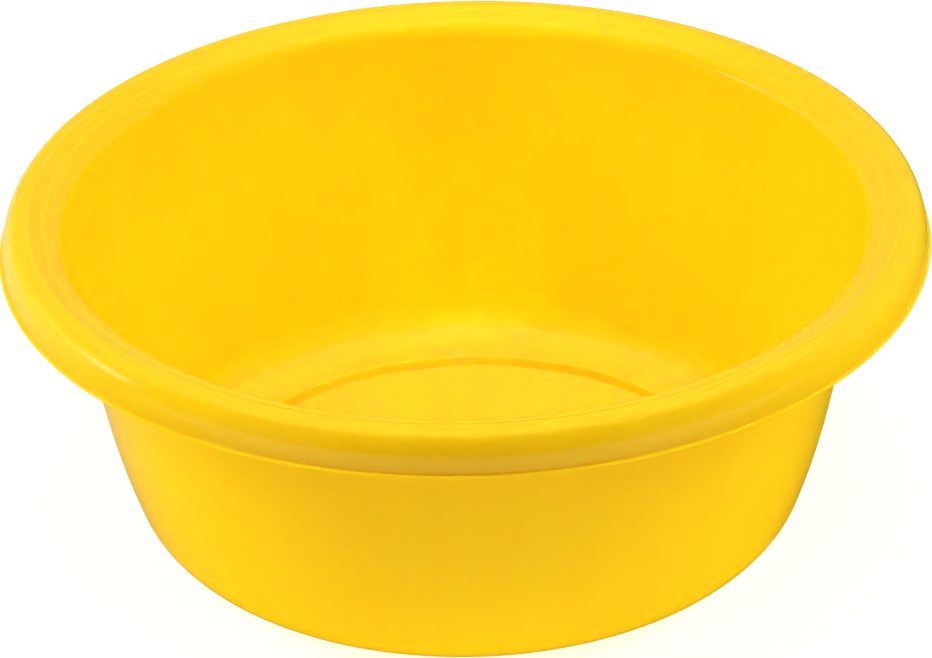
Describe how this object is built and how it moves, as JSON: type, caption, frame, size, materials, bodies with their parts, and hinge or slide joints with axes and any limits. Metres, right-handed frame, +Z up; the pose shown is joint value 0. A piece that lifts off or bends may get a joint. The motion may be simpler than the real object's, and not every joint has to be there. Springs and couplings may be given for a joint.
{
  "type": "basin",
  "caption": "Round open basin with a tapered wall, stepped base and wide turned-down rim, for washing up, soaking and carrying water.",
  "frame": {"origin": "centre of the foot's underside, on the surface that the basin stands on", "axes": "+Z up along the axis of the bowl; +X and +Y across it, with no preferred side"},
  "size_m": [0.36, 0.36, 0.1365],
  "materials": {
    "yellow_plastic": "glossy injection-moulded polypropylene"
  },
  "bodies": {
    "root": {"bowl_shell": "yellow_plastic"}
  },
  "joints": []
}
